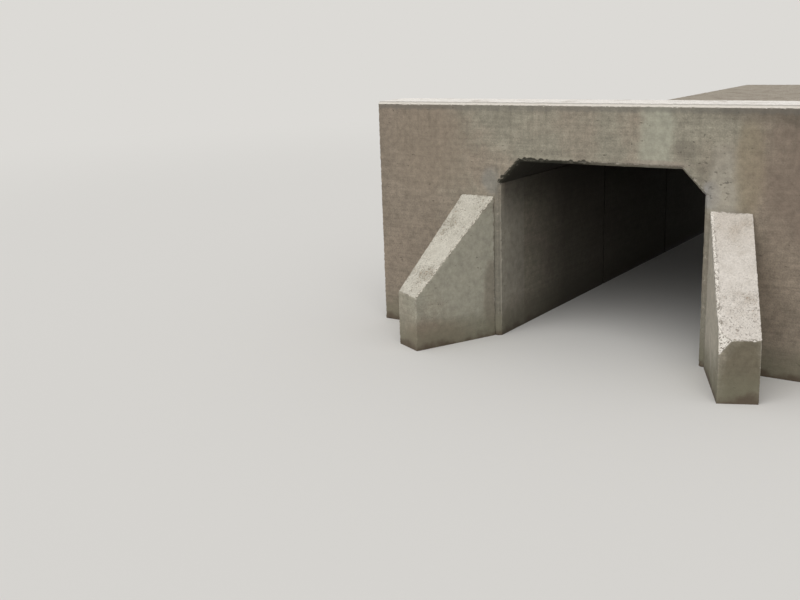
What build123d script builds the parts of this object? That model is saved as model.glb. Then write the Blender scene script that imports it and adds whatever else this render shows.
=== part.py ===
from build123d import *
import os

# Cast concrete headwall of a box culvert, with two flared wing walls and the first bays of its barrel.
# All the walls stand on the floor at Z = 0, and the barrel is open underneath.
# Millimetres. +Z is up, +Y runs into the barrel, and the mouth faces -Y.

# Clear opening of the barrel
clear_span = 1830
soffit_height = 1595
haunch = 195
mouth_chamfer = 25

# Headwall
headwall_width = 4420
headwall_thickness = 450
parapet_rise = 510
coping_chamfer = 25

# Wing walls
wing_length = 850
wing_thickness = 300
wing_flare = 25
wing_setback = 49
wing_root_height = 1290
wing_end_height = 485
wing_joint = 10

# Barrel
bay_count = 4
bay_length = 1800
barrel_wall = 200
barrel_roof = 230
barrel_chamfer = 25
bay_joint = 20

# Depth of the open groove left along the edges of a joint board
joint_recess = 12

# Levels and half widths that follow
lift_height = soffit_height - haunch
headwall_height = soffit_height + parapet_rise
half_span = clear_span / 2
half_headwall = headwall_width / 2
half_barrel = half_span + barrel_wall

# Directions of the right wing in plan: along it, away from the headwall, and across it to its outer face
wing_along = Vector(0, -1, 0).rotate(Axis.Z, wing_flare)
wing_across = Vector(1, 0, 0).rotate(Axis.Z, wing_flare)
# How far the wing leans outwards for each millimetre in front of the headwall, and its width along the face
wing_lean = wing_along.X / -wing_along.Y
wing_root_width = wing_thickness / wing_across.X

# The origin is the middle of the footprint at floor level
wing_reach = wing_length * -wing_along.Y
barrel_length = bay_count * bay_length + (bay_count - 1) * bay_joint
overall_depth = wing_reach + headwall_thickness + barrel_length
face_y = wing_reach - overall_depth / 2
back_y = face_y + headwall_thickness

mouth_plane = Plane.XZ.offset(-face_y)
root_y = face_y - wing_joint
root_plane = Plane.XZ.offset(-root_y)
root_inner = half_span + wing_setback + wing_joint * wing_lean

# Slack for picking edges by their place
slack = 1

os.makedirs("parts", exist_ok=True)


def keep(builder, name):
    """Labels a finished piece and writes it to its own file."""
    builder.part.label = name
    export_step(builder.part, "parts/" + name + ".step")


# Headwall: the whole wall in its form, before it is parted at the lift joint.
# The outline steps up round the mouth, whose upper corners are cut off by the haunches.
with BuildPart() as headwall_form:
    with BuildSketch(mouth_plane):
        with BuildLine():
            Polyline(
                (half_span, 0),
                (half_headwall, 0),
                (half_headwall, headwall_height),
                (-half_headwall, headwall_height),
                (-half_headwall, 0),
                (-half_span, 0),
                (-half_span, lift_height),
                (haunch - half_span, soffit_height),
                (half_span - haunch, soffit_height),
                (half_span, lift_height),
                close=True,
            )
        make_face()
    extrude(amount=-headwall_thickness)
    front_edges = headwall_form.faces().sort_by(Axis.Y)[0].edges()
    mouth_edges = front_edges.filter_by(
        lambda edge: abs(edge.center().X) < half_span + slack and edge.center().Z < soffit_height + slack
    )
    chamfer(mouth_edges, length=mouth_chamfer)
    coping_edge = headwall_form.edges().group_by(Axis.Z)[-1].sort_by(Axis.Y)[0]
    chamfer(coping_edge, length=coping_chamfer)

# The walls are cast up to the foot of the haunches, and the parapet with the lintel follows
with BuildPart() as headwall_upper:
    add(headwall_form.part)
    split(bisect_by=Plane.XY.offset(lift_height), keep=Keep.TOP)
keep(headwall_upper, "headwall_upper")

with BuildPart() as headwall_right:
    add(headwall_form.part)
    split(bisect_by=Plane.XY.offset(lift_height), keep=Keep.BOTTOM)
    split(bisect_by=Plane.YZ, keep=Keep.TOP)
keep(headwall_right, "headwall_right")

with BuildPart() as headwall_left:
    mirror(headwall_right.part, about=Plane.YZ)
keep(headwall_left, "headwall_left")

# Wing walls: level across the top at the headwall and at the end, so that the sloping top is ruled
end_inner = Vector(half_span + wing_setback, face_y, 0) + wing_along * wing_length
end_plane = Plane(origin=end_inner, x_dir=wing_across, z_dir=wing_along)

with BuildPart() as wing_right:
    with BuildSketch(root_plane):
        with Locations((root_inner, 0)):
            Rectangle(wing_root_width, wing_root_height, align=(Align.MIN, Align.MIN))
    with BuildSketch(end_plane):
        Rectangle(wing_thickness, wing_end_height, align=(Align.MIN, Align.MIN))
    loft(ruled=True)
keep(wing_right, "wing_right")

with BuildPart() as wing_left:
    mirror(wing_right.part, about=Plane.YZ)
keep(wing_left, "wing_left")

# Joint boards between the wings and the headwall, set back from the faces
with BuildPart() as wing_joint_right:
    with BuildSketch(root_plane):
        with Locations((root_inner + joint_recess, 0)):
            Rectangle(
                wing_root_width - 2 * joint_recess,
                wing_root_height - joint_recess,
                align=(Align.MIN, Align.MIN),
            )
    extrude(amount=-wing_joint)
keep(wing_joint_right, "wing_joint_right")

with BuildPart() as wing_joint_left:
    mirror(wing_joint_right.part, about=Plane.YZ)
keep(wing_joint_left, "wing_joint_left")

# Section of a barrel roof: a slab with a haunch over each wall
roof_top = soffit_height + barrel_roof
with BuildSketch() as roof_section:
    with BuildLine():
        Polyline(
            (half_span, lift_height),
            (half_barrel, lift_height),
            (half_barrel, roof_top),
            (-half_barrel, roof_top),
            (-half_barrel, lift_height),
            (-half_span, lift_height),
            (haunch - half_span, soffit_height),
            (half_span - haunch, soffit_height),
            close=True,
        )
    make_face()

# Barrel: each bay is two walls and a haunched roof
for bay in range(bay_count):
    bay_y = back_y + bay * (bay_length + bay_joint)
    bay_plane = Plane.XZ.offset(-bay_y)
    bay_name = "bay_" + str(bay + 1)

    with BuildPart() as bay_wall_right:
        with BuildSketch(bay_plane):
            with Locations((half_span, 0)):
                Rectangle(barrel_wall, lift_height, align=(Align.MIN, Align.MIN))
        extrude(amount=-bay_length)
    keep(bay_wall_right, bay_name + "_wall_right")

    with BuildPart() as bay_wall_left:
        mirror(bay_wall_right.part, about=Plane.YZ)
    keep(bay_wall_left, bay_name + "_wall_left")

    with BuildPart() as bay_roof:
        with BuildSketch(bay_plane):
            add(roof_section.sketch_local)
        extrude(amount=-bay_length)
        top_edges = bay_roof.edges().filter_by(Axis.Y).group_by(Axis.Z)[-1]
        chamfer(top_edges, length=barrel_chamfer)
    keep(bay_roof, bay_name + "_roof")

# Joint boards between the bays: one up each wall and one over the roof, set back all round
for joint in range(bay_count - 1):
    joint_y = back_y + (joint + 1) * bay_length + joint * bay_joint
    joint_plane = Plane.XZ.offset(-joint_y)
    joint_name = "joint_" + str(joint + 1)

    with BuildPart() as joint_board_right:
        with BuildSketch(joint_plane):
            with Locations((half_span + joint_recess, 0)):
                Rectangle(
                    barrel_wall - 2 * joint_recess,
                    lift_height + joint_recess,
                    align=(Align.MIN, Align.MIN),
                )
        extrude(amount=-bay_joint)
    keep(joint_board_right, joint_name + "_board_right")

    with BuildPart() as joint_board_left:
        mirror(joint_board_right.part, about=Plane.YZ)
    keep(joint_board_left, joint_name + "_board_left")

    with BuildPart() as joint_board_roof:
        with BuildSketch(joint_plane):
            add(roof_section.sketch_local)
            offset(amount=-joint_recess, mode=Mode.REPLACE)
        extrude(amount=-bay_joint)
    keep(joint_board_roof, joint_name + "_board_roof")
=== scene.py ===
"""Looks of the culvert headwall: weathered cast concrete round a haunched mouth, two wings and a barrel.

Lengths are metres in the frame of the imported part: +X right, +Y into the barrel, +Z up, and the walls stand
on the floor.
"""
import logging
import math
import random
from dataclasses import dataclass, replace
from enum import Enum
from typing import Sequence

import bmesh
import bpy
import numpy as np
from mathutils import Matrix, Vector, noise


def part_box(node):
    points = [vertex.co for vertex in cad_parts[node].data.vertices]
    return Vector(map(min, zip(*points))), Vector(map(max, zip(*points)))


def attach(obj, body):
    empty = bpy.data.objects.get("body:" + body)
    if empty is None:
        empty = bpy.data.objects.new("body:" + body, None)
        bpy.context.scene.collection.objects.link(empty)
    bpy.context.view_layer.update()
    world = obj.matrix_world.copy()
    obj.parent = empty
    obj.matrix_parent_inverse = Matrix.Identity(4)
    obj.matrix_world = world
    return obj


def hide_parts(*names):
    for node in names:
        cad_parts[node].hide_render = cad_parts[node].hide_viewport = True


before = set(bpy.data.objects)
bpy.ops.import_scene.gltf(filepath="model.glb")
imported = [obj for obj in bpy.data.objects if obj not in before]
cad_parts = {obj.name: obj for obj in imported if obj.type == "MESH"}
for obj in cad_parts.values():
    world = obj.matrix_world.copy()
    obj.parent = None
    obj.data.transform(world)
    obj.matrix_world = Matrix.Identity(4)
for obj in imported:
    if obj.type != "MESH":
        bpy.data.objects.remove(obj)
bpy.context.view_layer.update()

BODY = "root"
LOG = logging.getLogger("headwall")

Number3 = tuple[float, float, float]
Colour = tuple[float, float, float, float]
# The two ends of a range. A layer shows none at the first and all at the second
Span = tuple[float, float]
Socket = bpy.types.NodeSocket
BMesh = bmesh.types.BMesh

MM = 0.001
# Points nearer than this are one, levels nearer than this are the same, and pieces nearer than this touch
WELD = 1e-5
LEVEL = 1e-4
TOUCH = 1e-3
# Faces that turn by less than this are one, edges are sharp from here on, and shading creases from here on
FLAT = math.radians(0.5)
SHARP = math.radians(20)
CREASE = math.radians(38)

# Levels and places that the finishes, the wear and the camera share, read from the frame
UPPER_LOW, UPPER_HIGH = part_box("headwall_upper")
FACE_Y, BACK_Y = UPPER_LOW.y, UPPER_HIGH.y
LIFT_Z, COPING_Z = UPPER_LOW.z, UPPER_HIGH.z
ROOF_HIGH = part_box("bay_1_roof")[1]
HALF_SPAN = min(abs(v.co.x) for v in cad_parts["bay_1_wall_right"].data.vertices)
SOFFIT_Z = min(v.co.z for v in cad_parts["bay_1_roof"].data.vertices if abs(v.co.x) < 0.9 * HALF_SPAN)
COPING_Y = min(v.co.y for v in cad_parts["headwall_upper"].data.vertices if v.co.z > COPING_Z - LEVEL)

# The inputs and the output of a kind of node that go without names, and the settings that it starts from. Mix
# takes a share and two colours, and MapRange a value, the range that it has and the range that this becomes
PLAIN = {
    "Mix": ((0, 6, 7), 2, {"data_type": "RGBA"}),
    "MapRange": (range(5), 0, {"interpolation_type": "SMOOTHSTEP"}),
    "Math": (range(3), 0, {"operation": "MULTIPLY"}),
    "Mapping": (("Vector", "Scale", "Location"), 0, {}),
    "TexNoise": (("Vector", "Scale", "Detail", "Roughness"), 0, {}),
}
EVEN = {"interpolation_type": "LINEAR"}
SHADE = {"blend_type": "MULTIPLY"}
TIMES_PLUS = {"operation": "MULTIPLY_ADD"}
# Most of a noise lies between these, and most of the mottle, which is rougher, between the wider ones
NOISE = (0.3, 0.7)
ROUGH_NOISE = (0.25, 0.75)
# How far on in the noise the next seed is
SEED_STEP = (17.3, 5.1, 9.7)
# How rough the noise of the wear is, and how much finer each octave is than the one before
FRACTAL = (0.8, 2.1)
# Upward part of its normal at which a face begins to be a top, and at which it is one
UPWARD = (0.3, 0.8)
# Upward part of the run of an edge that slopes
SLOPING = (0.2, 0.95)


def linear(code: str) -> Colour:
    """Turns an sRGB hex colour into the linear colour that a shader takes.

    Args:
        code: The colour as "#rrggbb".

    Returns:
        Red, green, blue and an alpha of 1.
    """
    parts = [int(code[i:i + 2], 16) / 255 for i in (1, 3, 5)]
    red, green, blue = (p / 12.92 if p <= 0.04045 else ((p + 0.055) / 1.055) ** 2.4 for p in parts)
    return red, green, blue, 1.0


def per_metre(size_mm: float) -> float:
    """Gives the scale of a pattern whose features are size_mm across."""
    return 1000.0 / size_mm


def beside(place: float, span: Span) -> Span:
    """Gives the two places that lie a span's values past a place."""
    return place + span[0], place + span[1]


class Graph:
    """The node tree of a material or a world, built node by node."""

    def __init__(self, owner: bpy.types.Material | bpy.types.World) -> None:
        """Empties the owner's tree and takes it over.

        Args:
            owner: The material or world.
        """
        owner.use_nodes = True
        self.tree = owner.node_tree
        self.tree.nodes.clear()

    def add(
        self, kind: str, inputs: Sequence[object] | dict[str, object] = (), out: str = "", **settings: object
    ) -> Socket | None:
        """Adds a node with its settings, its fixed inputs and its links.

        Args:
            kind: The node's type without its common prefix.
            inputs: Numbers, hex colours and sockets that feed it, in plain order or by name.
            out: The name of the output, unless it is the plain one.
            settings: Attributes of the node, set before its inputs.

        Returns:
            The output, unless the node ends the tree.
        """
        places, plain_out, start = PLAIN.get(kind, (range(3), 0, {}))
        node = self.tree.nodes.new("ShaderNode" + kind)
        for name, value in {**start, **settings}.items():
            setattr(node, name, value)
        for place, value in inputs.items() if isinstance(inputs, dict) else zip(places, inputs):
            if isinstance(value, Socket):
                self.tree.links.new(value, node.inputs[place])
            else:
                node.inputs[place].default_value = linear(value) if isinstance(value, str) else value
        return node.outputs[out or plain_out] if node.outputs else None


class Shelter(Enum):
    """How a concrete surface is placed to the weather."""

    OPEN = "open"
    BARREL = "barrel"


@dataclass(frozen=True)
class Stain:
    """A soft-edged patch of another tone. Its middle and half sizes are in metres, seen along Y."""

    x: float
    z: float
    half_x: float
    half_z: float
    colour: str
    shows: float = 0.6
    # How ragged its outline is, where its edge lies with that added, both in half sizes, and its mottling
    ragged: float = 1.1
    edge: Span = (1.85, 1.15)
    shade: Span = (0.80, 1.18)


@dataclass(frozen=True)
class Stones:
    """Stones of one size that show where the cement is washed off them. The higher their edge, the rarer."""

    size_mm: float
    edge: Span
    shows: float
    colour: str


@dataclass(frozen=True)
class CastConcrete:
    """Concrete cast against board shutters and left to the weather.

    Seen from near it is a warm grey cement skin with sand grain, air holes and board marks. From afar it
    drifts between olive and brown, with run marks under the coping, bleached tops painted lighter as lit from
    above, pale broken edges, painted shade within the mouth and a dark, damp foot. Colours are sRGB, sizes of
    patterns end in mm, and places and levels are in metres.
    """

    name: str
    shelter: Shelter = Shelter.OPEN
    # The cement skin drifts from olive to warm grey, and turns brown towards the ends of the wall: how far
    # from its middle, with the raggedness added
    olive: str = "#969080"
    warm: str = "#978c7c"
    drift: Span = (0.4, 0.6)
    brown: str = "#8c7f70"
    brown_from: Span = (1.45, 2.0)
    brown_ragged: float = 0.9
    browning: float = 0.85
    # How dark and how light each pattern makes it
    mottle_shade: Span = (0.78, 1.18)
    grain_shade: Span = (0.86, 1.14)
    board_shade: Span = (0.90, 1.10)
    ragged_shade: Span = (0.92, 1.08)
    stains: tuple[Stain, ...] = ()
    # Run marks, and the line where drips hang, at their height over the coping's top
    run: str = "#5f594c"
    run_edge: Span = (0.50, 0.74)
    run_over: Span = (-0.7, -0.05)
    run_shows: float = 0.30
    drip_line: str = "#6d6a63"
    drip_over: Span = (-0.054, -0.020)
    drip_ragged: float = 0.06
    drip_shows: float = 0.5
    # What faces up is bleached by rain and painted lighter as lit from above, with dirt lying on it in
    # patches
    facing_up: Span = (0.40, 0.62)
    bleached_and_lit: str = "#f8f3ec"
    top_grey: str = "#d9d2c8"
    bleached_and_lit_spread: Span = (0.20, 0.62)
    top_dirt: str = "#b5aa9c"
    dirt_edge: Span = (0.52, 0.72)
    dirt_shows: float = 0.65
    top_shade: Span = (0.88, 1.08)
    # How dirty a sloping top is where it meets the wall, and from which level on
    root_dirt: float = 0.0
    root_z: Span = (0.95, 1.25)
    # The chamfer along the coping is greyer, in front of its upper edge, and dirt lies along that edge
    coping_over: Span = (-0.06, -0.05)
    slope_grey: str = "#cbc4b8"
    slope_past: Span = (0.0, -0.004)
    slope_shows: float = 0.75
    slope_line: str = "#86817a"
    line_width: Span = (0.011, 0.003)
    line_shows: float = 0.6
    # The stones that rain has washed bare, in clumps. Low down they all show, and up high this share of them
    stones: tuple[Stones, ...] = (
        Stones(30.0, (0.69, 0.77), 0.60, "#6f665a"), Stones(13.0, (0.68, 0.76), 0.70, "#6f665a"),
        Stones(21.0, (0.74, 0.82), 0.55, "#9a7350"),
    )
    stones_clump: float = 0.25
    stones_high: float = 1.0
    stones_z: Span = (0.60, 0.85)
    # Pale mortar with dark stones shows where an edge has gone, with dirt and painted shade along the break's
    # rim
    mortar: str = "#cdc4b4"
    mortar_shows: float = 0.75
    speck: str = "#6f665a"
    speck_edge: Span = (0.38, 0.48)
    rim_outer: Span = (0.06, 0.26)
    rim_inner: Span = (0.66, 0.40)
    rim_patches: Span = (0.56, 0.46)
    rim_shows: float = 0.75
    # Painted shade on what faces down overhead, and on the chips along the lintel. It gets stronger towards
    # the left:
    # from where to where, with the raggedness added, and how much shows
    damp_and_shade: str = "#2f2f26"
    facing_down: Span = (-0.12, -0.38)
    overhead: Span = (-0.03, 0.0)
    lintel_past: Span = (0.05, 0.03)
    lintel_over: Span = (0.06, 0.04)
    underside_shade_x: Span = (0.60, 0.05)
    underside_shade_ragged: float = 0.8
    underside_shade_shows: Span = (0.12, 0.92)
    # A green film along the foot and silt under it, at levels with the raggedness added
    green_film: str = "#76725f"
    green_z: Span = (0.22, -0.08)
    green_shows: float = 0.7
    silt: str = "#54473a"
    silt_z: Span = (-0.05, -0.13)
    silt_shows: float = 0.85
    foot_ragged: float = -0.26
    # Painted shade and grime within the outline of the mouth: painted shade deep in and up to the haunches,
    # and grime down to the foot
    grime_and_painted_shade: str = "#37332c"
    within: Span = (0.03, 0.02)
    deep_shade: Span = (0.05, 1.30)
    deep_shade_shows: float = 0.76
    past_face: Span = (0.02, 0.10)
    haunch_shade_z: Span = (0.90, LIFT_Z)
    haunch_shade_shows: float = 0.60
    low_z: Span = (0.42, 0.05)
    low_shows: float = 0.25
    # The faces in the barrel's joints that look towards the mouth are painted dark, as painted shade
    joint_lip_shade: str = "#0f0e0c"
    past_wall: Span = (0.5, 1.0)
    facing_front: Span = (-0.4, -0.7)
    lip_shade_shows: float = 0.65
    patch_mm: float = 900.0
    ragged_mm: float = 230.0
    mottle_mm: float = 60.0
    # Sand grain, drawn four times as coarse as it is so that it shows
    grain_mm: float = 12.0
    board_mm: float = 34.0
    board_length_mm: float = 700.0
    run_mm: float = 55.0
    run_length_mm: float = 1600.0
    # The pits, how tall they are for their width, how they clump, and where in their noise they start
    pit_mm: float = 22.0
    pit_shadow: str = "#3b362e"
    pit_squat: float = 0.6
    pit_clump: float = 0.25
    pit_edge: Span = (0.82, 0.90)
    pit_shows: float = 0.46
    # The middle of the place, seen along Y, where there are more of them, how near to it, and how many more
    cluster: tuple[float, float] = (0.92, 1.60)
    cluster_reach: Span = (0.34, 0.10)
    cluster_more: float = 0.105
    # How tall the bump of each pattern is. The grain's is taller on what faces up
    grain_tall_mm: Span = (0.9, 2.6)
    mottle_tall_mm: float = 4.0
    board_tall_mm: float = 2.2
    pit_tall_mm: float = -4.0
    # Dry cement is dull, and damp silt less so
    dry_rough: float = 0.93
    damp_rough: float = 0.62
    specular: float = 0.3

    def material(self) -> bpy.types.Material:
        """Builds the node material.

        Returns:
            The material.
        """
        material = bpy.data.materials.new(self.name)
        ConcreteSkin(material, self).lay()
        return material


class ConcreteSkin(Graph):
    """The node tree of cast concrete: what its layers read, and a method for each of them."""

    # The colour as far as it is laid
    colour: Socket

    def __init__(self, owner: bpy.types.Material, look: CastConcrete) -> None:
        """Adds the nodes that the layers share: place, the ways back and up, and three noises.

        Args:
            owner: The material.
            look: Its colours and sizes.
        """
        super().__init__(owner)
        self.look = look
        self.where = self.add("TexCoord", out="Object")
        self.x, self.y, self.z = self.add("SeparateXYZ", (self.where,)).node.outputs
        normal = self.add("NewGeometry", out="Normal")
        _, self.back, self.up = self.add("SeparateXYZ", (normal,)).node.outputs
        self.side = self.add("Math", (self.x,), operation="ABSOLUTE")
        self.broken = self.add("Attribute", out="Fac", attribute_name="broken")
        self.mottle, self.grain, self.ragged = (
            self.add("TexNoise", (self.where, per_metre(size), detail, rough))
            for size, detail, rough in (
                (look.mottle_mm, 8.0, 0.74), (look.grain_mm, 3.0, 0.7), (look.ragged_mm, 7.0, 0.62),
            )
        )

    def lay(self) -> None:
        """Lays the layers one over the other and links the shader."""
        look = self.look
        boards, pits = self.boards(), self.pits()
        self.colour = self.cement(boards)
        for stain in look.stains:
            self.stain(stain)
        if look.shelter is Shelter.OPEN:
            self.runs()
        self.colour = self.add("Mix", (pits, self.colour, look.pit_shadow))
        self.tops()
        self.breaks()
        self.underside()
        # The foot's damp silt, which also sets how dull it is
        damp_and_shade = self.foot()
        # Painted shade within the mouth, and grime at its foot
        self.grime_and_painted_shade()
        rough = self.add("MapRange", (damp_and_shade, 0, 1, look.dry_rough, look.damp_rough), **EVEN)
        inputs = {"Base Color": self.colour, "Roughness": rough, "Normal": self.bump(boards, pits)}
        shader = self.add("BsdfPrincipled", {**inputs, "Specular IOR Level": look.specular})
        self.add("OutputMaterial", (shader,))

    def boards(self) -> Socket:
        """Draws the level grain that shutter boards leave.

        Returns:
            The grain, from 0 to 1.
        """
        along, up = per_metre(self.look.board_length_mm), per_metre(self.look.board_mm)
        mapped = self.add("Mapping", (self.where, (along, along, up)))
        return self.add("TexNoise", (mapped, 1.0, 5.0, 0.65))

    def pits(self) -> Socket:
        """Scatters the holes that air bubbles leave against a shutter, more in some places than in others.

        Returns:
            How much of a pit there is.
        """
        look = self.look
        squat = self.add("Mapping", (self.where, (look.pit_squat, look.pit_squat, 1.0)))
        holes = self.add("TexNoise", (squat, per_metre(look.pit_mm), 2.0))
        holes = self.add("Math", (self.ragged, look.pit_clump, holes), **TIMES_PLUS)
        shift = (-look.cluster[0], 0.0, -look.cluster[1])
        near = self.add("Mapping", (self.where, (1.0, 0.0, 1.0), shift))
        near = self.add("VectorMath", (near,), "Value", operation="LENGTH")
        near = self.add("MapRange", (near, *look.cluster_reach, 0, look.cluster_more))
        holes = self.add("Math", (holes, near), operation="ADD")
        return self.add("MapRange", (holes, *look.pit_edge, 0, look.pit_shows))

    def cement(self, boards: Socket) -> Socket:
        """Colours the cement skin: drifting tones, then lighter and darker by mottle, grain and board marks.

        Args:
            boards: The grain of the boards.

        Returns:
            The colour.
        """
        look = self.look
        patches = self.add("TexNoise", (self.where, per_metre(look.patch_mm), 5.0, 0.6))
        drift = self.add("MapRange", (patches, *look.drift))
        tone = self.add("Mix", (drift, look.olive, look.warm))
        reach = self.add("Math", (patches, look.brown_ragged, self.side), **TIMES_PLUS)
        brown = self.add("MapRange", (reach, *look.brown_from, 0, look.browning))
        tone = self.add("Mix", (brown, tone, look.brown))
        for pattern, values, shade in (
            (self.mottle, ROUGH_NOISE, look.mottle_shade), (self.grain, NOISE, look.grain_shade),
            (boards, NOISE, look.board_shade), (self.ragged, NOISE, look.ragged_shade),
        ):
            value = self.add("MapRange", (pattern, *values, *shade))
            tone = self.add("Mix", (1.0, tone, value), **SHADE)
        return tone

    def stain(self, stain: Stain) -> None:
        """Lays one stain with a ragged edge, keeping the mottle under it.

        Args:
            stain: The stain.
        """
        scale = (1 / stain.half_x, 0.0, 1 / stain.half_z)
        shift = (-stain.x / stain.half_x, 0.0, -stain.z / stain.half_z)
        local = self.add("Mapping", (self.where, scale, shift))
        away = self.add("VectorMath", (local,), "Value", operation="LENGTH")
        away = self.add("Math", (self.ragged, stain.ragged, away), **TIMES_PLUS)
        there = self.add("MapRange", (away, *stain.edge, 0, stain.shows))
        value = self.add("MapRange", (self.mottle, *ROUGH_NOISE, *stain.shade))
        tone = self.add("Mix", (1.0, stain.colour, value), **SHADE)
        self.colour = self.add("Mix", (there, self.colour, tone))

    def runs(self) -> None:
        """Draws the dark line where drips hang under the coping, and faint runs below it."""
        look = self.look
        across, down = per_metre(look.run_mm), per_metre(look.run_length_mm)
        mapped = self.add("Mapping", (self.where, (across, across, down)))
        runs = self.add("TexNoise", (mapped, 1.0, 5.0))
        below = self.add("MapRange", (self.z, *beside(COPING_Z, look.run_over), 0, look.run_shows))
        dark = self.add("MapRange", (runs, *look.run_edge))
        dark = self.add("Math", (dark, below))
        level = self.add("Math", (runs, look.drip_ragged, self.z), **TIMES_PLUS)
        drip = self.add("MapRange", (level, *beside(COPING_Z, look.drip_over), 0, look.drip_shows))
        for share, tone in ((dark, look.run), (drip, look.drip_line)):
            self.colour = self.add("Mix", (share, self.colour, tone))

    def tops(self) -> None:
        """Bleaches what faces up, painting it lighter as lit from above. Grime lies in patches, and dark
        stones show where the cement has gone.
        """
        look = self.look
        pale = self.add("MapRange", (self.mottle, *look.bleached_and_lit_spread))
        top = self.add("Mix", (pale, look.top_grey, look.bleached_and_lit))
        dirt = self.add("MapRange", (self.ragged, *look.dirt_edge, 0, look.dirt_shows))
        root = self.add("MapRange", (self.z, *look.root_z, 0, look.root_dirt))
        for share in (dirt, root):
            top = self.add("Mix", (share, top, look.top_dirt))
        for stones in look.stones:
            level = self.add("TexNoise", (self.where, per_metre(stones.size_mm), 3.0, 0.75))
            level = self.add("Math", (self.ragged, look.stones_clump, level), **TIMES_PLUS)
            shows = (stones.shows, stones.shows * look.stones_high)
            shown = self.add("MapRange", (self.z, *look.stones_z, *shows), **EVEN)
            stone = self.add("MapRange", (level, *stones.edge, 0, shown))
            top = self.add("Mix", (stone, top, stones.colour))
        fine = self.add("MapRange", (self.grain, *NOISE, *look.top_shade))
        top = self.add("Mix", (1.0, top, fine), **SHADE)
        front = beside(COPING_Y, look.slope_past)
        front = self.add("MapRange", (self.y, *front, 0, look.slope_shows), **EVEN)
        high = self.add("MapRange", (self.z, *beside(COPING_Z, look.coping_over)), **EVEN)
        away = self.add("Math", (self.y, COPING_Y), operation="SUBTRACT")
        away = self.add("Math", (away,), operation="ABSOLUTE")
        line = self.add("MapRange", (away, *look.line_width, 0, look.line_shows))
        for share, tone in ((front, look.slope_grey), (line, look.slope_line)):
            share = self.add("Math", (share, high))
            top = self.add("Mix", (share, top, tone))
        # Tops are bleached, and painted lighter as lit from above
        facing = self.add("MapRange", (self.up, *look.facing_up))
        self.colour = self.add("Mix", (facing, self.colour, top))

    def breaks(self) -> None:
        """Shows paler mortar and its stones where an edge has broken, with dirt and painted shade along the
        rim.
        """
        look = self.look
        stones = self.add("MapRange", (self.grain, *look.speck_edge))
        fresh = self.add("Mix", (stones, look.speck, look.mortar))
        shows = self.add("Math", (self.broken, look.mortar_shows))
        self.colour = self.add("Mix", (shows, self.colour, fresh))
        # A dark rim round each break: dirt, and painted shade in the chip's lip
        rim_dirt_and_shade = self.add("MapRange", (self.broken, *look.rim_outer, 0, look.rim_shows * look.mortar_shows))
        for pattern, edge in ((self.broken, look.rim_inner), (self.mottle, look.rim_patches)):
            share = self.add("MapRange", (pattern, *edge))
            rim_dirt_and_shade = self.add("Math", (rim_dirt_and_shade, share))
        self.colour = self.add("Mix", (rim_dirt_and_shade, self.colour, look.speck))

    def underside(self) -> None:
        """Paints shade on what faces down overhead, most at the left of the mouth, and on the chips there."""
        look = self.look
        down = self.add("MapRange", (self.up, *look.facing_down))
        edge = self.add("MapRange", (self.y, *beside(FACE_Y, look.lintel_past)))
        low = self.add("MapRange", (self.z, *beside(SOFFIT_Z, look.lintel_over)))
        chips = self.broken
        for share in (edge, low):
            chips = self.add("Math", (chips, share))
        there = self.add("Math", (down, chips), operation="MAXIMUM")
        left = self.add("Math", (self.ragged, look.underside_shade_ragged, self.x), **TIMES_PLUS)
        left = self.add("MapRange", (left, *look.underside_shade_x, *look.underside_shade_shows))
        overhead = self.add("MapRange", (self.z, *beside(LIFT_Z, look.overhead)))
        for share in (left, overhead):
            there = self.add("Math", (there, share))
        # The dark tone here is painted shade
        self.colour = self.add("Mix", (there, self.colour, look.damp_and_shade))

    def foot(self) -> Socket:
        """Lays a faint green band and a thin dark band of silt along the foot.

        Returns:
            How damp the surface is.
        """
        look = self.look
        level = self.add("Math", (self.ragged, look.foot_ragged, self.z), **TIMES_PLUS)
        green = self.add("MapRange", (level, *look.green_z, 0, look.green_shows))
        silt = self.add("MapRange", (level, *look.silt_z, 0, look.silt_shows))
        for share, tone in ((green, look.green_film), (silt, look.silt)):
            self.colour = self.add("Mix", (share, self.colour, tone))
        return silt

    def grime_and_painted_shade(self) -> None:
        """Darkens the inside of the mouth and the barrel: painted shade deep in, under the haunches and on
        the joints' faces towards the mouth, and grime at the foot.
        """
        look = self.look
        inside = self.add("MapRange", (self.side, *beside(HALF_SPAN, look.within)), **EVEN)
        under = self.add("MapRange", (self.z, *beside(SOFFIT_Z, look.within)), **EVEN)
        within = self.add("Math", (inside, under))
        # Painted shade: darker the deeper into the mouth
        deep_shade = self.add("MapRange", (self.y, *beside(FACE_Y, look.deep_shade), 0, look.deep_shade_shows), **EVEN)
        # Painted shadow under the haunches, and a band of grime along the foot
        high = self.add("MapRange", (self.z, *look.haunch_shade_z, 0, look.haunch_shade_shows))
        low = self.add("MapRange", (self.z, *look.low_z, 0, look.low_shows))
        shade = self.add("Math", (high, low), operation="ADD")
        past_face = self.add("MapRange", (self.y, *beside(FACE_Y, look.past_face)), **EVEN)
        shade = self.add("Math", (shade, past_face))
        # Painted shade on the joint faces that look towards the mouth
        lip_shade = self.add("MapRange", (self.back, *look.facing_front, 0, look.lip_shade_shows), **EVEN)
        past_wall = self.add("MapRange", (self.y, *beside(BACK_Y, look.past_wall)), **EVEN)
        lip_shade = self.add("Math", (lip_shade, past_wall))
        for layer, tone in ((deep_shade, look.grime_and_painted_shade), (shade, look.grime_and_painted_shade), (lip_shade, look.joint_lip_shade)):
            layer = self.add("Math", (layer, within))
            self.colour = self.add("Mix", (layer, self.colour, tone))

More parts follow.
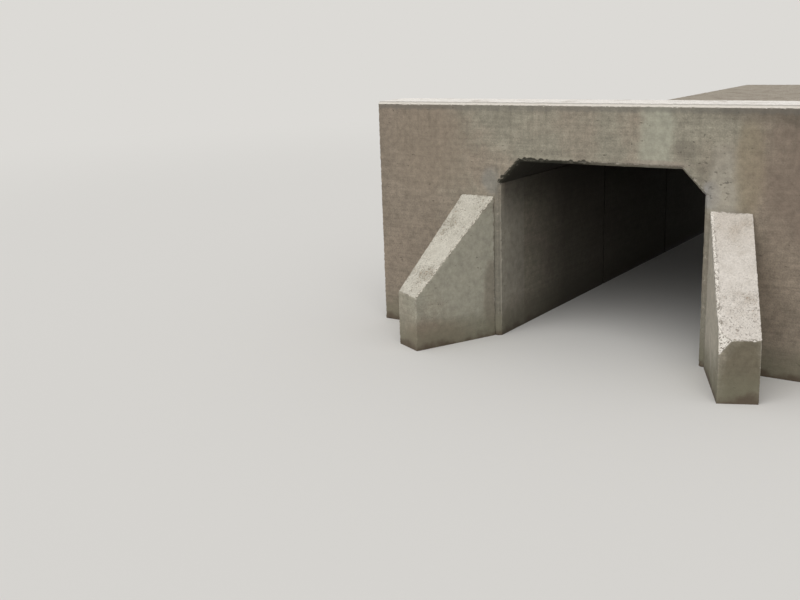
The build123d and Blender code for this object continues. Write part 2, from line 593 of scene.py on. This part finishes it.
    def bump(self, boards: Socket, pits: Socket) -> Socket:
        """Adds up the relief in millimetres: grain, most on tops, mottle and board marks, less the pits.

        Args:
            boards: The grain of the boards.
            pits: The pits.

        Returns:
            The normal.
        """
        look = self.look
        grain_tall_mm = self.add("MapRange", (self.up, *UPWARD, *look.grain_tall_mm))
        height = self.add("Math", (self.grain, grain_tall_mm))
        talls = (look.mottle_tall_mm, look.board_tall_mm, look.pit_tall_mm)
        for pattern, tall in zip((self.mottle, boards, pits), talls):
            height = self.add("Math", (pattern, tall, height), **TIMES_PLUS)
        return self.add("Bump", {"Height": height, "Distance": MM})


@dataclass(frozen=True)
class FibreBoard:
    """Bitumen-soaked fibre board, pressed in the joints: brown black, dull, with torn fibres along it."""

    name: str = "bitumen_fibre_board"
    dark: str = "#1c1813"
    fibre: str = "#3f362a"
    fibre_mm: float = 4.0
    length_mm: float = 60.0
    fibre_edge: Span = (0.35, 0.7)
    tall_mm: float = 2.0
    rough: float = 0.9

    def material(self) -> bpy.types.Material:
        """Builds the node material.

        Returns:
            The material.
        """
        material = bpy.data.materials.new(self.name)
        graph = Graph(material)
        where = graph.add("TexCoord", out="Object")
        across, along = per_metre(self.fibre_mm), per_metre(self.length_mm)
        mapped = graph.add("Mapping", (where, (across, across, along)))
        fibres = graph.add("TexNoise", (mapped, 1.0, 4.0))
        spread = graph.add("MapRange", (fibres, *self.fibre_edge), **EVEN)
        colour = graph.add("Mix", (spread, self.dark, self.fibre))
        bump = graph.add("Bump", {"Height": fibres, "Distance": self.tall_mm * MM})
        inputs = {"Base Color": colour, "Roughness": self.rough, "Normal": bump}
        shader = graph.add("BsdfPrincipled", inputs)
        graph.add("OutputMaterial", (shader,))
        return material


@dataclass(frozen=True)
class Arris:
    """A sharp outer edge of a casting, and the way out from it."""

    start: Vector
    end: Vector
    outward: Vector

    @property
    def middle(self) -> Vector:
        """Middle of the edge."""
        return (self.start + self.end) / 2

    @property
    def slopes(self) -> bool:
        """Whether the edge runs neither level nor upright."""
        run = (self.end - self.start).normalized()
        return SLOPING[0] < abs(run.z) < SLOPING[1]

    def distances(self, points: np.ndarray) -> np.ndarray:
        """Measures how far each point is from the edge.

        Args:
            points: The points, one to a row.

        Returns:
            The distances.
        """
        origin, run = np.array(self.start), np.array(self.end - self.start)
        along = np.clip((points - origin) @ run / (run @ run), 0, 1)
        return np.linalg.norm(points - origin - along[:, None] * run, axis=1)


@dataclass(frozen=True)
class Spalling:
    """How an arris is worn and chipped. Each chip is the hollow that a ball would leave."""

    # Chips in a metre, the radius of their balls, and how deep the deepest goes
    each_metre: float = 6.0
    smallest: float = 0.010
    largest: float = 0.060
    deepest: float = 0.007
    # How deep the edge is rubbed down
    wear: float = 0.004
    # How much of the pale mortar a chip shows: an old one has gone grey
    fresh: float = 1.0
    # How far from the edge the skin has crumbled off its mortar in spots
    crumbled: float = 0.0


@dataclass(frozen=True)
class Relief:
    """How uneven the faces and the washed-out tops of a casting are."""

    face: float = 0.0012
    top: float = 0.004
    face_size: float = 0.35
    top_size: float = 0.035
    # The even and the uneven part of what is washed off a top
    washed: Span = (0.45, 0.75)


@dataclass(frozen=True)
class CornerBreak:
    """A corner that has broken off, given by where the break meets three edges."""

    corner: Vector
    cuts: tuple[Vector, Vector, Vector]
    rough: float = 0.007

    @property
    def outward(self) -> Vector:
        """The way out from the broken face.

        Returns:
            The direction, of length 1.
        """
        first, second, third = self.cuts
        normal = (second - first).cross(third - first).normalized()
        return normal if normal.dot(self.corner - first) > 0 else -normal


def fractal(point: Sequence[float], size: float, seed: int, octaves: int = 4) -> float:
    """Gives smooth noise of about -1 to 1 with features of that size."""
    elsewhere = Vector([seed * step for step in SEED_STEP])
    return noise.fractal(Vector(point) / size + elsewhere, *FRACTAL, octaves)


@dataclass(frozen=True)
class Raggedness:
    """An uneven share: what there is of it on average, and noise of one size and seed round that."""

    average: float
    size: float
    seed: int
    octaves: int = 3

    def at(self, point: Sequence[float], seed: int) -> float:
        """Gives the share at a point, for a casting with that seed."""
        return max(0.0, self.average + fractal(point, self.size, seed + self.seed, self.octaves))


class Weathering:
    """Wears the points of a casting.

    They only move inwards, so the casting stays in its form, and its foot on the floor.
    """

    # Depth at which all of the skin is gone, and the level up to which points are the foot
    SKIN = 0.003
    FOOT_Z = 0.001
    # How ragged a rubbed edge is, the crumbled spots beside it and a broken face
    RUBBED = Raggedness(0.75, 0.022, 5)
    SPOTS = Raggedness(0.4, 0.018, 9)
    BREAK = Raggedness(0.5, 0.030, 7, 4)
    # How many times its depth a rubbed edge is wide, the share of the depth that counts as lost skin, and how
    # many times the skin a crumbled spot is deep
    RUBBED_WIDE = 3
    RUBBED_OFF = 0.3
    SPOTS_DEEP = 2
    # The shallowest chip as a share of the deepest, the deepest as a share of its ball's radius, and the
    # power that makes small ones commoner
    SHALLOWEST = 0.35
    STEEPEST = 0.6
    SMALL_ONES = 2.5

    def __init__(self, mesh: bpy.types.Mesh, seed: int) -> None:
        """Reads the mesh.

        Args:
            mesh: The mesh to shape.
            seed: Start of the random draws.
        """
        self.mesh = mesh
        self.seed = seed
        self.draw = random.Random(seed)
        count = len(mesh.vertices)
        flat = np.empty(count * 3)
        mesh.vertices.foreach_get("co", flat)
        self.start = flat.reshape(-1, 3).copy()
        mesh.vertices.foreach_get("normal", flat)
        self.normals = flat.reshape(-1, 3).copy()
        self.points = self.start.copy()
        self.gone = np.zeros(count)

    def roughen(self, relief: Relief) -> None:
        """Makes the faces uneven and the tops rough.

        Args:
            relief: How uneven and how rough.
        """
        upward = np.clip((self.normals[:, 2] - UPWARD[0]) / (UPWARD[1] - UPWARD[0]), 0, 1)
        for i, start in enumerate(self.start):
            depth = relief.face * (0.5 + 0.5 * fractal(start, relief.face_size, self.seed, 2))
            if upward[i] > 0:
                even, uneven = relief.washed
                washed = max(0.0, even + uneven * fractal(start, relief.top_size, self.seed + 3))
                depth += relief.top * upward[i] * washed
            self.points[i] -= self.normals[i] * max(0.0, depth)

    def wear(self, arris: Arris, spalling: Spalling) -> None:
        """Rubs down one arris, unevenly, and crumbles the skin beside it.

        Args:
            arris: The edge.
            spalling: How it is worn.
        """
        near = arris.distances(self.start)
        reach = self.RUBBED_WIDE * spalling.wear
        for i in np.nonzero(near < reach)[0]:
            ragged = self.RUBBED.at(self.start[i], self.seed)
            depth = spalling.wear * ragged * (1 - near[i] / reach) ** 2
            self.points[i] -= self.normals[i] * depth
            self.gone[i] += self.RUBBED_OFF * depth
        for i in np.nonzero(near < spalling.crumbled)[0]:
            spots = self.SPOTS.at(self.start[i], self.seed)
            self.gone[i] += self.SPOTS_DEEP * self.SKIN * spots * (1 - near[i] / spalling.crumbled)

    def chip(self, arris: Arris, spalling: Spalling, casting: "Casting") -> None:
        """Knocks chips off one arris.

        Args:
            arris: The edge.
            spalling: How it is chipped.
            casting: The casting, which says where it chips most.
        """
        count = int((arris.end - arris.start).length * spalling.each_metre + self.draw.random())
        for _ in range(count):
            place = arris.start.lerp(arris.end, self.draw.random())
            larger = self.draw.random() ** self.SMALL_ONES
            radius = spalling.smallest + (spalling.largest - spalling.smallest) * larger
            deeper = self.SHALLOWEST + (1 - self.SHALLOWEST) * self.draw.random()
            bite = min(radius * self.STEEPEST, spalling.deepest * deeper)
            if self.draw.random() > casting.exposure(place):
                continue
            way = self.points - np.array(place + arris.outward * (radius - bite))
            far = np.linalg.norm(way, axis=1)
            inside = far < radius
            push = radius - far[inside]
            self.points[inside] += way[inside] * (push / np.maximum(far[inside], 1e-6))[:, None]
            self.gone[inside] += push * spalling.fresh

    def snap(self, piece: CornerBreak) -> None:
        """Takes off a corner along a rough plane.

        Args:
            piece: The piece that is lost.
        """
        out = np.array(piece.outward)
        proud = (self.points - np.array(piece.cuts[0])) @ out
        for i in np.nonzero(proud > 0)[0]:
            rough = piece.rough * self.BREAK.at(self.start[i], self.seed)
            self.points[i] -= out * (proud[i] + rough)
            self.gone[i] += proud[i]

    def finish(self) -> None:
        """Writes the points back, and the attribute "broken" that says how much of the skin is gone."""
        foot = self.start[:, 2] < self.FOOT_Z
        self.points[:, 2] = np.where(foot, self.start[:, 2], np.maximum(self.points[:, 2], self.FOOT_Z / 2))
        self.mesh.vertices.foreach_set("co", self.points.ravel())
        broken = self.mesh.attributes.new("broken", "FLOAT", "POINT")
        broken.data.foreach_set("value", np.clip(self.gone / self.SKIN, 0, 1))
        self.mesh.update()


def shell_of(nodes: Sequence[str]) -> BMesh:
    """Joins the faces of CAD nodes that were cast as one, without the faces where they meet.

    Args:
        nodes: Names of the CAD nodes.

    Returns:
        A closed mesh with each flat side as one face.
    """
    shell = bmesh.new()
    for node in nodes:
        shell.from_mesh(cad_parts[node].data)
    bmesh.ops.remove_doubles(shell, verts=shell.verts, dist=WELD)
    if len(nodes) > 1:
        level = [f for f in shell.faces if abs(f.normal.z) > math.cos(SHARP)]
        meeting = [f for f in level if abs(f.calc_center_median().z - LIFT_Z) < LEVEL]
        bmesh.ops.delete(shell, geom=meeting, context="FACES")
        bmesh.ops.remove_doubles(shell, verts=shell.verts, dist=WELD)
    bmesh.ops.dissolve_limit(shell, angle_limit=FLAT, verts=shell.verts, edges=shell.edges)
    bmesh.ops.recalc_face_normals(shell, faces=shell.faces)
    return shell


def arrises_of(shell: BMesh) -> list[Arris]:
    """Lists the sharp outer edges above the floor of a mesh that hasn't been scored yet.

    Args:
        shell: The mesh.

    Returns:
        The edges.
    """
    found = []
    for edge in shell.edges:
        if len(edge.link_faces) != 2 or edge.calc_face_angle_signed(0.0) < SHARP:
            continue
        start, end = (v.co.copy() for v in edge.verts)
        if max(start.z, end.z) < TOUCH:
            continue
        outward = (edge.link_faces[0].normal + edge.link_faces[1].normal).normalized()
        found.append(Arris(start, end, outward))
    return found


def score(shell: BMesh, pitch: float) -> None:
    """Cuts the faces of a mesh along planes across X, Y and Z, so that they can be shaped.

    Args:
        shell: The mesh.
        pitch: The distance between the planes.
    """
    for axis in range(3):
        across = Vector([float(i == axis) for i in range(3)])
        low = min(v.co[axis] for v in shell.verts)
        high = max(v.co[axis] for v in shell.verts)
        parts = max(1, round((high - low) / pitch))
        for part in range(1, parts):
            place = across * (low + (high - low) * part / parts)
            everything = shell.verts[:] + shell.edges[:] + shell.faces[:]
            bmesh.ops.bisect_plane(shell, geom=everything, dist=WELD, plane_co=place, plane_no=across)


def refine(shell: BMesh, arrises: Sequence[Arris], reach: float) -> None:
    """Halves the edges that lie near the arrises, so that those can be chipped finely.

    Args:
        shell: The mesh.
        arrises: The arrises.
        reach: How near.
    """
    bmesh.ops.triangulate(shell, faces=[f for f in shell.faces if len(f.verts) > 4])
    points = np.array([v.co for v in shell.verts])
    near = np.full(len(points), np.inf)
    for arris in arrises:
        near = np.minimum(near, arris.distances(points))
    shell.verts.index_update()
    edges = [e for e in shell.edges if max(near[v.index] for v in e.verts) < reach]
    bmesh.ops.subdivide_edges(shell, edges=edges, cuts=1, use_grid_fill=True)


def ruled_block(corners: np.ndarray, parts: tuple[int, int, int]) -> BMesh:
    """Makes a closed block with straight rulings between eight corners, with a grid on each side.

    Args:
        corners: The corners as an array [across, along, up, xyz] of shape 2, 2, 2, 3.
        parts: How many parts the block has across, along and up.

    Returns:
        The mesh.
    """
    block = bmesh.new()
    made: dict[tuple[int, ...], bmesh.types.BMVert] = {}

    def point(index: tuple[int, ...]) -> bmesh.types.BMVert:
        """Gives a grid point, and makes it the first time.

        Args:
            index: Its place in the grid.

        Returns:
            The point.
        """
        if index not in made:
            u, v, w = (index[i] / parts[i] for i in range(3))
            across = corners[0] * (1 - u) + corners[1] * u
            along = across[0] * (1 - v) + across[1] * v
            made[index] = block.verts.new(along[0] * (1 - w) + along[1] * w)
        return made[index]

    for axis in range(3):
        first, second = (i for i in range(3) if i != axis)
        for side in (0, parts[axis]):
            for i in range(parts[first]):
                for j in range(parts[second]):
                    ring = []
                    for di, dj in ((0, 0), (1, 0), (1, 1), (0, 1)):
                        index = [0, 0, 0]
                        index[axis], index[first], index[second] = side, i + di, j + dj
                        ring.append(point(tuple(index)))
                    block.faces.new(ring)
    bmesh.ops.recalc_face_normals(block, faces=block.faces)
    return block


@dataclass
class Casting:
    """A piece of cast concrete that stands for one or more CAD nodes."""

    name: str
    nodes: tuple[str, ...]
    slot: str
    material: bpy.types.Material
    seed: int
    relief: Relief = Relief()
    spalling: Spalling = Spalling()
    # How near its arrises the mesh is halved, once for each reach
    reaches: tuple[float, ...] = (0.05,)
    # How far apart the points on its faces are
    pitch: float = 0.036

    def grid(self) -> tuple[BMesh, list[Arris]]:
        """Scores the piece into small faces, most finely along its edges.

        Returns:
            The mesh and its arrises.
        """
        shell = shell_of(self.nodes)
        arrises = arrises_of(shell)
        score(shell, self.pitch)
        for reach in self.reaches:
            refine(shell, arrises, reach)
        return shell, arrises

    def exposure(self, place: Vector) -> float:
        """Says how readily an arris chips at a place, from 0 to 1."""
        return 1.0

    def spalling_of(self, arris: Arris) -> Spalling | None:
        """Gives how an arris is worn, or None for one that is shut in a joint."""
        return self.spalling

    def breaks(self) -> list[CornerBreak]:
        """Lists the corners that have broken off."""
        return []

    def build(self) -> bpy.types.Object:
        """Builds, weathers and dresses the piece.

        Returns:
            The finished object.
        """
        shell, arrises = self.grid()
        mesh = bpy.data.meshes.new(self.name)
        shell.to_mesh(mesh)
        shell.free()
        weathering = Weathering(mesh, self.seed)
        weathering.roughen(self.relief)
        worn = [(arris, spalling) for arris in arrises if (spalling := self.spalling_of(arris))]
        for arris, spalling in worn:
            weathering.wear(arris, spalling)
        for arris, spalling in worn:
            weathering.chip(arris, spalling, self)
        for piece in self.breaks():
            weathering.snap(piece)
        weathering.finish()
        mesh.shade_smooth()
        mesh.set_sharp_from_angle(angle=CREASE)
        mesh.materials.append(self.material)
        casting = bpy.data.objects.new(self.name, mesh)
        bpy.context.scene.collection.objects.link(casting)
        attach(casting, BODY)
        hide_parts(*self.nodes)
        LOG.info("%s: %d triangles", self.name, sum(len(p.vertices) - 2 for p in mesh.polygons))
        return casting


@dataclass
class HeadwallCasting(Casting):
    """The wall round the mouth: one casting, with haunches, a chamfer round the mouth and a sloped coping."""

    relief: Relief = Relief(top=0.0025)
    reaches: tuple[float, ...] = (0.045, 0.020)
    pitch: float = 0.024
    lintel: Spalling = Spalling(
        each_metre=32.0, smallest=0.008, largest=0.046, deepest=0.013, wear=0.004, crumbled=0.006
    )
    jamb: Spalling = Spalling(
        each_metre=24.0, smallest=0.008, largest=0.040, deepest=0.009, wear=0.0012, fresh=0.22
    )
    coping: Spalling = Spalling(each_metre=2.0, smallest=0.008, largest=0.040, deepest=0.003, wear=0.0020)
    # How readily the wall's edges chip, and the whole part of the lintel's
    readily: float = 0.5
    whole: float = 0.12
    # From here to the left, over this length, the lintel's edge gets more and more crumbled
    whole_to_x: float = 0.35
    crumbles_over: float = 0.5
    # How far the front edges reach from the faces beside them
    edge: float = 0.04

    def exposure(self, place: Vector) -> float:
        """Says that the lintel's edge chips most at the left of the mouth.

        Args:
            place: The place.

        Returns:
            How readily an arris chips there, from 0 to 1.
        """
        if not self._at_mouth(place) or place.z < LIFT_Z - self.edge / 2:
            return self.readily
        return min(1.0, max(self.whole, (self.whole_to_x - place.x) / self.crumbles_over))

    def spalling_of(self, arris: Arris) -> Spalling | None:
        """Leaves out the edges that the barrel is cast against.

        Args:
            arris: The edge.

        Returns:
            How it is worn, or None.
        """
        middle = arris.middle
        at_barrel = abs(middle.x) < ROOF_HIGH.x + self.edge / 4 and middle.z < ROOF_HIGH.z
        if abs(middle.y - BACK_Y) < TOUCH and at_barrel:
            return None
        if self._at_mouth(middle):
            return self.lintel if middle.z > LIFT_Z else self.jamb
        return self.coping if middle.z > COPING_Z - self.edge else self.spalling

    def _at_mouth(self, place: Vector) -> bool:
        """Whether a place is on the front edge of the mouth."""
        across = abs(place.x) < HALF_SPAN + self.edge
        return place.y < FACE_Y + self.edge and across and place.z < SOFFIT_Z + self.edge

    def grid(self) -> tuple[BMesh, list[Arris]]:
        """Scores the wall, most finely round the mouth and along the coping.

        Returns:
            The mesh and its arrises.
        """
        shell = shell_of(self.nodes)
        arrises = arrises_of(shell)
        score(shell, self.pitch)
        worn = [a for a in arrises if self.spalling_of(a)]
        ends = UPPER_HIGH.x - self.edge
        front = [a for a in worn if a.middle.y < FACE_Y + self.edge and abs(a.middle.x) < ends]
        for near, reach in zip((worn, front), self.reaches):
            refine(shell, near, reach)
        return shell, arrises


@dataclass
class WingWall(Casting):
    """A flared wing wall with a sloping top that is level across at both ends."""

    pitch: float = 0.018
    top_edge: Spalling = Spalling(
        each_metre=50.0, smallest=0.006, largest=0.034, deepest=0.011, wear=0.010, crumbled=0.040
    )
    reaches: tuple[float, ...] = (0.045, 0.024)

    def corners(self) -> np.ndarray:
        """Reads the corners of the wing from its CAD node.

        Returns:
            The corners as an array [inner or outer, root or end, foot or top, xyz].
        """
        places = [v.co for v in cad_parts[self.nodes[0]].data.vertices]
        feet = [p for p in places if p.z < WELD]
        root_y = max(p.y for p in feet)
        root = sorted((p for p in feet if root_y - p.y < LEVEL), key=lambda p: abs(p.x))
        end = [min(feet, key=lambda p: p.y), max(feet, key=lambda p: abs(p.x))]
        block = np.zeros((2, 2, 2, 3))
        for along, pair in enumerate((root, end)):
            for across, foot in enumerate((pair[0], pair[-1])):
                top = max(p.z for p in places if math.hypot(p.x - foot.x, p.y - foot.y) < LEVEL)
                block[across, along, 0] = (foot.x, foot.y, 0.0)
                block[across, along, 1] = (foot.x, foot.y, top)
        return block

    def spalling_of(self, arris: Arris) -> Spalling | None:
        """Picks out the inner edge of the sloping top, which has crumbled most.

        Args:
            arris: The edge.

        Returns:
            How it is worn.
        """
        corners = self.corners()
        inner = abs(arris.middle.x) < abs(corners[:, :, 0, 0]).mean() and arris.slopes
        return self.top_edge if inner else self.spalling

    def grid(self) -> tuple[BMesh, list[Arris]]:
        """Makes the ruled block of the wing.

        Returns:
            The mesh, and the arrises of its plain form.
        """
        corners = self.corners()
        plain = ruled_block(corners, (1, 1, 1))
        arrises = arrises_of(plain)
        plain.free()
        wide = np.linalg.norm(corners[1, 1, 0] - corners[0, 1, 0])
        long = np.linalg.norm(corners[0, 1, 0] - corners[0, 0, 0])
        tall = (corners[0, 0, 1, 2] + corners[0, 1, 1, 2]) / 2
        block = ruled_block(corners, tuple(round(float(size) / self.pitch) for size in (wide, long, tall)))
        root_y = corners[0, 0, 0, 1]
        seen = [a for a in arrises if min(a.start.y, a.end.y) < root_y - self.reaches[0]]
        for reach in self.reaches:
            refine(block, seen, reach)
        return block, arrises


@dataclass
class ChippedWingWall(WingWall):
    """A wing wall that has lost the inner corner at its low end. The break runs this far from the corner."""

    lost_down: float = 0.120
    lost_across: float = 0.095
    lost_back: float = 0.080

    def breaks(self) -> list[CornerBreak]:
        """Places the lost corner.

        Returns:
            The break, as the only one.
        """
        corners = self.corners()
        corner = Vector(corners[0, 1, 1])
        across = Vector(corners[1, 1, 1]) - corner
        back = Vector(corners[0, 0, 1]) - corner
        cuts = (
            corner - Vector((0, 0, self.lost_down)), corner + across.normalized() * self.lost_across,
            corner + back.normalized() * self.lost_back,
        )
        return [CornerBreak(corner, cuts)]


@dataclass
class BarrelCasting(Casting):
    """A wall or the haunched roof slab of one bay of the barrel."""

    def spalling_of(self, arris: Arris) -> Spalling | None:
        """Leaves out the edges that are cast against the headwall."""
        return None if abs(arris.middle.y - BACK_Y) < TOUCH else self.spalling


@dataclass
class Barrel:
    """The bays of the barrel and the boards in the joints between them."""

    concrete: bpy.types.Material
    board: bpy.types.Material
    relief: Relief = Relief(face=0.002, top=0.003, face_size=0.5, top_size=0.06)
    spalling: Spalling = Spalling(each_metre=2.0, largest=0.05, wear=0.003)
    first_seed: int = 40

    def build(self) -> None:
        """Builds the walls and roof of each bay, and dresses the boards."""
        bays = sorted(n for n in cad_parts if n.startswith("bay_"))
        for seed, node in enumerate(bays, self.first_seed):
            BarrelCasting(
                f"{node}_cast", (node,), "barrel_concrete", self.concrete, seed, self.relief, self.spalling
            ).build()
        for name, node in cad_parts.items():
            if "joint" in name:
                node.data.materials.clear()
                node.data.materials.append(self.board)
                LOG.info("%s: dressed", name)


@dataclass(frozen=True)
class PhotoCamera:
    """Where the photograph was taken from, fitted to the corners of the wall.

    Its place is from the middle of the mouth at floor level. Yaw turns left and pitch down, in degrees.
    """

    place: Number3 = (3.5286, -7.8285, 2.6840)
    yaw: float = 35.407
    pitch: float = 14.488
    roll: float = -1.968
    lens_mm: float = 45.862
    sensor_mm: float = 36.0

    def build(self) -> None:
        """Makes the camera and hands it to the scene."""
        yaw, pitch, roll = (math.radians(a) for a in (self.yaw, self.pitch, self.roll))
        level = math.cos(pitch)
        forward = Vector((-math.sin(yaw) * level, math.cos(yaw) * level, -math.sin(pitch)))
        right = Vector((math.cos(yaw), math.sin(yaw), 0.0))
        up = right.cross(forward)
        turned_right = math.cos(roll) * right + math.sin(roll) * up
        turned_up = math.cos(roll) * up - math.sin(roll) * right
        data = bpy.data.cameras.new("photo_camera")
        data.sensor_width = self.sensor_mm
        data.lens = self.lens_mm
        camera = bpy.data.objects.new("photo_camera", data)
        axes = Matrix((turned_right, turned_up, -forward)).transposed().to_4x4()
        camera.matrix_world = Matrix.Translation(Vector(self.place) + Vector((0, FACE_Y, 0))) @ axes
        bpy.context.scene.collection.objects.link(camera)
        bpy.context.scene.camera = camera


@dataclass(frozen=True)
class Studio:
    """A plain pale floor and soft even light. The floor throws little light back on the object."""

    floor: str = "#d9d7d3"
    thrown: float = 0.30
    backdrop: str = "#dcdad6"
    sky: float = 0.62
    lamp: float = 1.75
    lamp_spread: float = 80.0
    lamp_from: Number3 = (0.10, -0.75, 0.62)
    floor_half: float = 60.0
    # The floor takes on the tone of the backdrop from here to there
    fade: Span = (9.0, 24.0)

    def build(self) -> None:
        """Makes the floor, the sky and the lamp."""
        self._floor()
        self._sky()
        data = bpy.data.lights.new("soft_lamp", "SUN")
        data.energy = self.lamp
        data.angle = math.radians(self.lamp_spread)
        lamp = bpy.data.objects.new("soft_lamp", data)
        lamp.rotation_euler = Vector(self.lamp_from).to_track_quat("Z", "Y").to_euler()
        bpy.context.scene.collection.objects.link(lamp)

    @staticmethod
    def _seen(graph: Graph) -> Socket:
        """Tells the rays that show the floor or the backdrop from those that light the object.

        Args:
            graph: The node tree.

        Returns:
            1 for the rays that show it, and 0 for the others.
        """
        seen = graph.add("LightPath", out="Is Camera Ray")
        rays = seen.node.outputs
        for kind in ("Is Glossy Ray", "Is Transmission Ray"):
            seen = graph.add("Math", (seen, rays[kind]), operation="MAXIMUM")
        return seen

    def _floor(self) -> None:
        """Lays the floor, which fades far off to the tone of the backdrop."""
        half = self.floor_half
        mesh = bpy.data.meshes.new("floor")
        corners = [(x * half, y * half, 0) for x, y in ((-1, -1), (1, -1), (1, 1), (-1, 1))]
        mesh.from_pydata(corners, [], [(0, 1, 2, 3)])
        floor = bpy.data.objects.new("floor", mesh)
        bpy.context.scene.collection.objects.link(floor)
        material = bpy.data.materials.new("painted_floor")
        graph = Graph(material)
        seen = self._seen(graph)
        dull = (self.thrown, self.thrown, self.thrown, 1.0)
        tone = graph.add("Mix", (seen, dull, self.floor))
        matt = graph.add("BsdfDiffuse", (tone,))
        glow = graph.add("Emission", (self.backdrop, seen))
        where = graph.add("TexCoord", out="Object")
        away = graph.add("VectorMath", (where,), "Value", operation="LENGTH")
        far = graph.add("MapRange", (away, *self.fade))
        graph.add("OutputMaterial", (graph.add("MixShader", (far, matt, glow)),))
        mesh.materials.append(material)

    def _sky(self) -> None:
        """Sets the even light from all round, and the pale tone that is seen behind the object."""
        world = bpy.data.worlds.new("studio")
        bpy.context.scene.world = world
        graph = Graph(world)
        even = (self.sky, self.sky, self.sky, 1.0)
        tone = graph.add("Mix", (self._seen(graph), even, self.backdrop))
        graph.add("OutputWorld", (graph.add("Background", (tone,)),))


# Patches of tone on the front of the wall, from the left end to the right end
FACE_STAINS = (
    Stain(-1.65, 1.70, 0.45, 0.45, "#918473", 0.55),
    Stain(-1.01, 1.41, 0.09, 0.12, "#87867f", 0.60),
    Stain(-0.945, 0.62, 0.030, 0.85, "#716d63", 0.60),
    Stain(-0.912, 0.66, 0.012, 0.80, "#b2ab9d", 0.50),
    Stain(-0.88, 1.73, 0.06, 0.03, "#aca493", 0.70),
    Stain(0.50, 1.86, 0.15, 0.50, "#a6a493", 0.80),
    Stain(0.50, 1.63, 0.26, 0.03, "#9f9184", 0.60),
    Stain(0.75, 1.75, 0.10, 0.08, "#736c60", 0.45),
    Stain(0.95, 0.62, 0.030, 0.85, "#837f74", 0.50),
    Stain(0.95, 1.57, 0.09, 0.14, "#7c7568", 0.45),
    Stain(0.97, 1.41, 0.08, 0.11, "#929295", 0.55),
    Stain(1.07, 1.48, 0.13, 0.34, "#a59e90", 0.70),
    Stain(1.26, 1.62, 0.12, 0.40, "#8f836c", 0.60),
    Stain(1.95, 1.60, 0.62, 0.62, "#7e7063", 0.80),
    Stain(1.75, 2.06, 0.80, 0.11, "#6b6256", 0.70),
)
# Washed cement on the inner sides of the wings, and damp on the right wing's end
WING_STAINS = (
    Stain(1.05, 0.65, 0.26, 0.60, "#c2baab", 0.85),
    Stain(-1.10, 0.75, 0.26, 0.55, "#aaa696", 0.80),
    Stain(-0.985, 0.36, 0.035, 0.34, "#7d7365", 0.60),
    Stain(1.48, 0.20, 0.15, 0.36, "#6c6453", 0.92),
    Stain(-1.30, 0.10, 0.20, 0.16, "#93806f", 0.60),
)

# The wall: bleached along its coping and painted lighter there as lit from above, and pitted and stained by
# place
WALL_CONCRETE = CastConcrete("weathered_shuttered_concrete", stains=FACE_STAINS, stones_high=0.4)
# The right wing: paler, rain-washed cement whose top has lost its skin along the inner edge
RIGHT_WING_CONCRETE = CastConcrete(
    "washed_wing_concrete", olive="#a09b8a", warm="#9e9585", browning=0.15, stains=WING_STAINS,
    mortar="#e9e3d9", mortar_shows=0.9, bleached_and_lit="#d3ccc3", top_grey="#b8b0a5", root_dirt=0.4,
    stones_high=0.40,
)
# The left wing: the same cement, darker and greener, with more of its stones bare
LEFT_WING_CONCRETE = replace(
    RIGHT_WING_CONCRETE, name="greened_wing_concrete", bleached_and_lit="#cbc6b9", top_grey="#a9a395",
    top_dirt="#928c7c", mortar="#d3ccbd", root_dirt=0.1, stones_high=0.8,
)
# The barrel: damp cement in the shade, darkened by painted shade and grime, with no rain on it
BARREL_CONCRETE = CastConcrete(
    "damp_barrel_concrete", Shelter.BARREL, olive="#9c9584", warm="#988e80", brown="#87796a",
    mortar_shows=0.1, bleached_and_lit="#a79e90", top_grey="#8f8576", top_dirt="#7d7365",
)


def main() -> None:
    """Builds the parts of the headwall in order, then the camera and the studio."""
    logging.basicConfig(level=logging.INFO, format="%(message)s")
    bpy.context.scene.view_settings.view_transform = "Standard"
    HeadwallCasting(
        "headwall_cast", ("headwall_upper", "headwall_left", "headwall_right"), "headwall_concrete",
        WALL_CONCRETE.material(), seed=7,
    ).build()
    WingWall(
        "wing_left_cast", ("wing_left",), "wing_concrete", LEFT_WING_CONCRETE.material(), seed=19,
        top_edge=replace(WingWall.top_edge, wear=0.007, crumbled=0.020),
    ).build()
    ChippedWingWall(
        "wing_right_cast", ("wing_right",), "wing_concrete", RIGHT_WING_CONCRETE.material(), seed=21
    ).build()
    Barrel(BARREL_CONCRETE.material(), FibreBoard().material()).build()
    PhotoCamera().build()
    Studio().build()


if __name__ == "__main__":
    main()
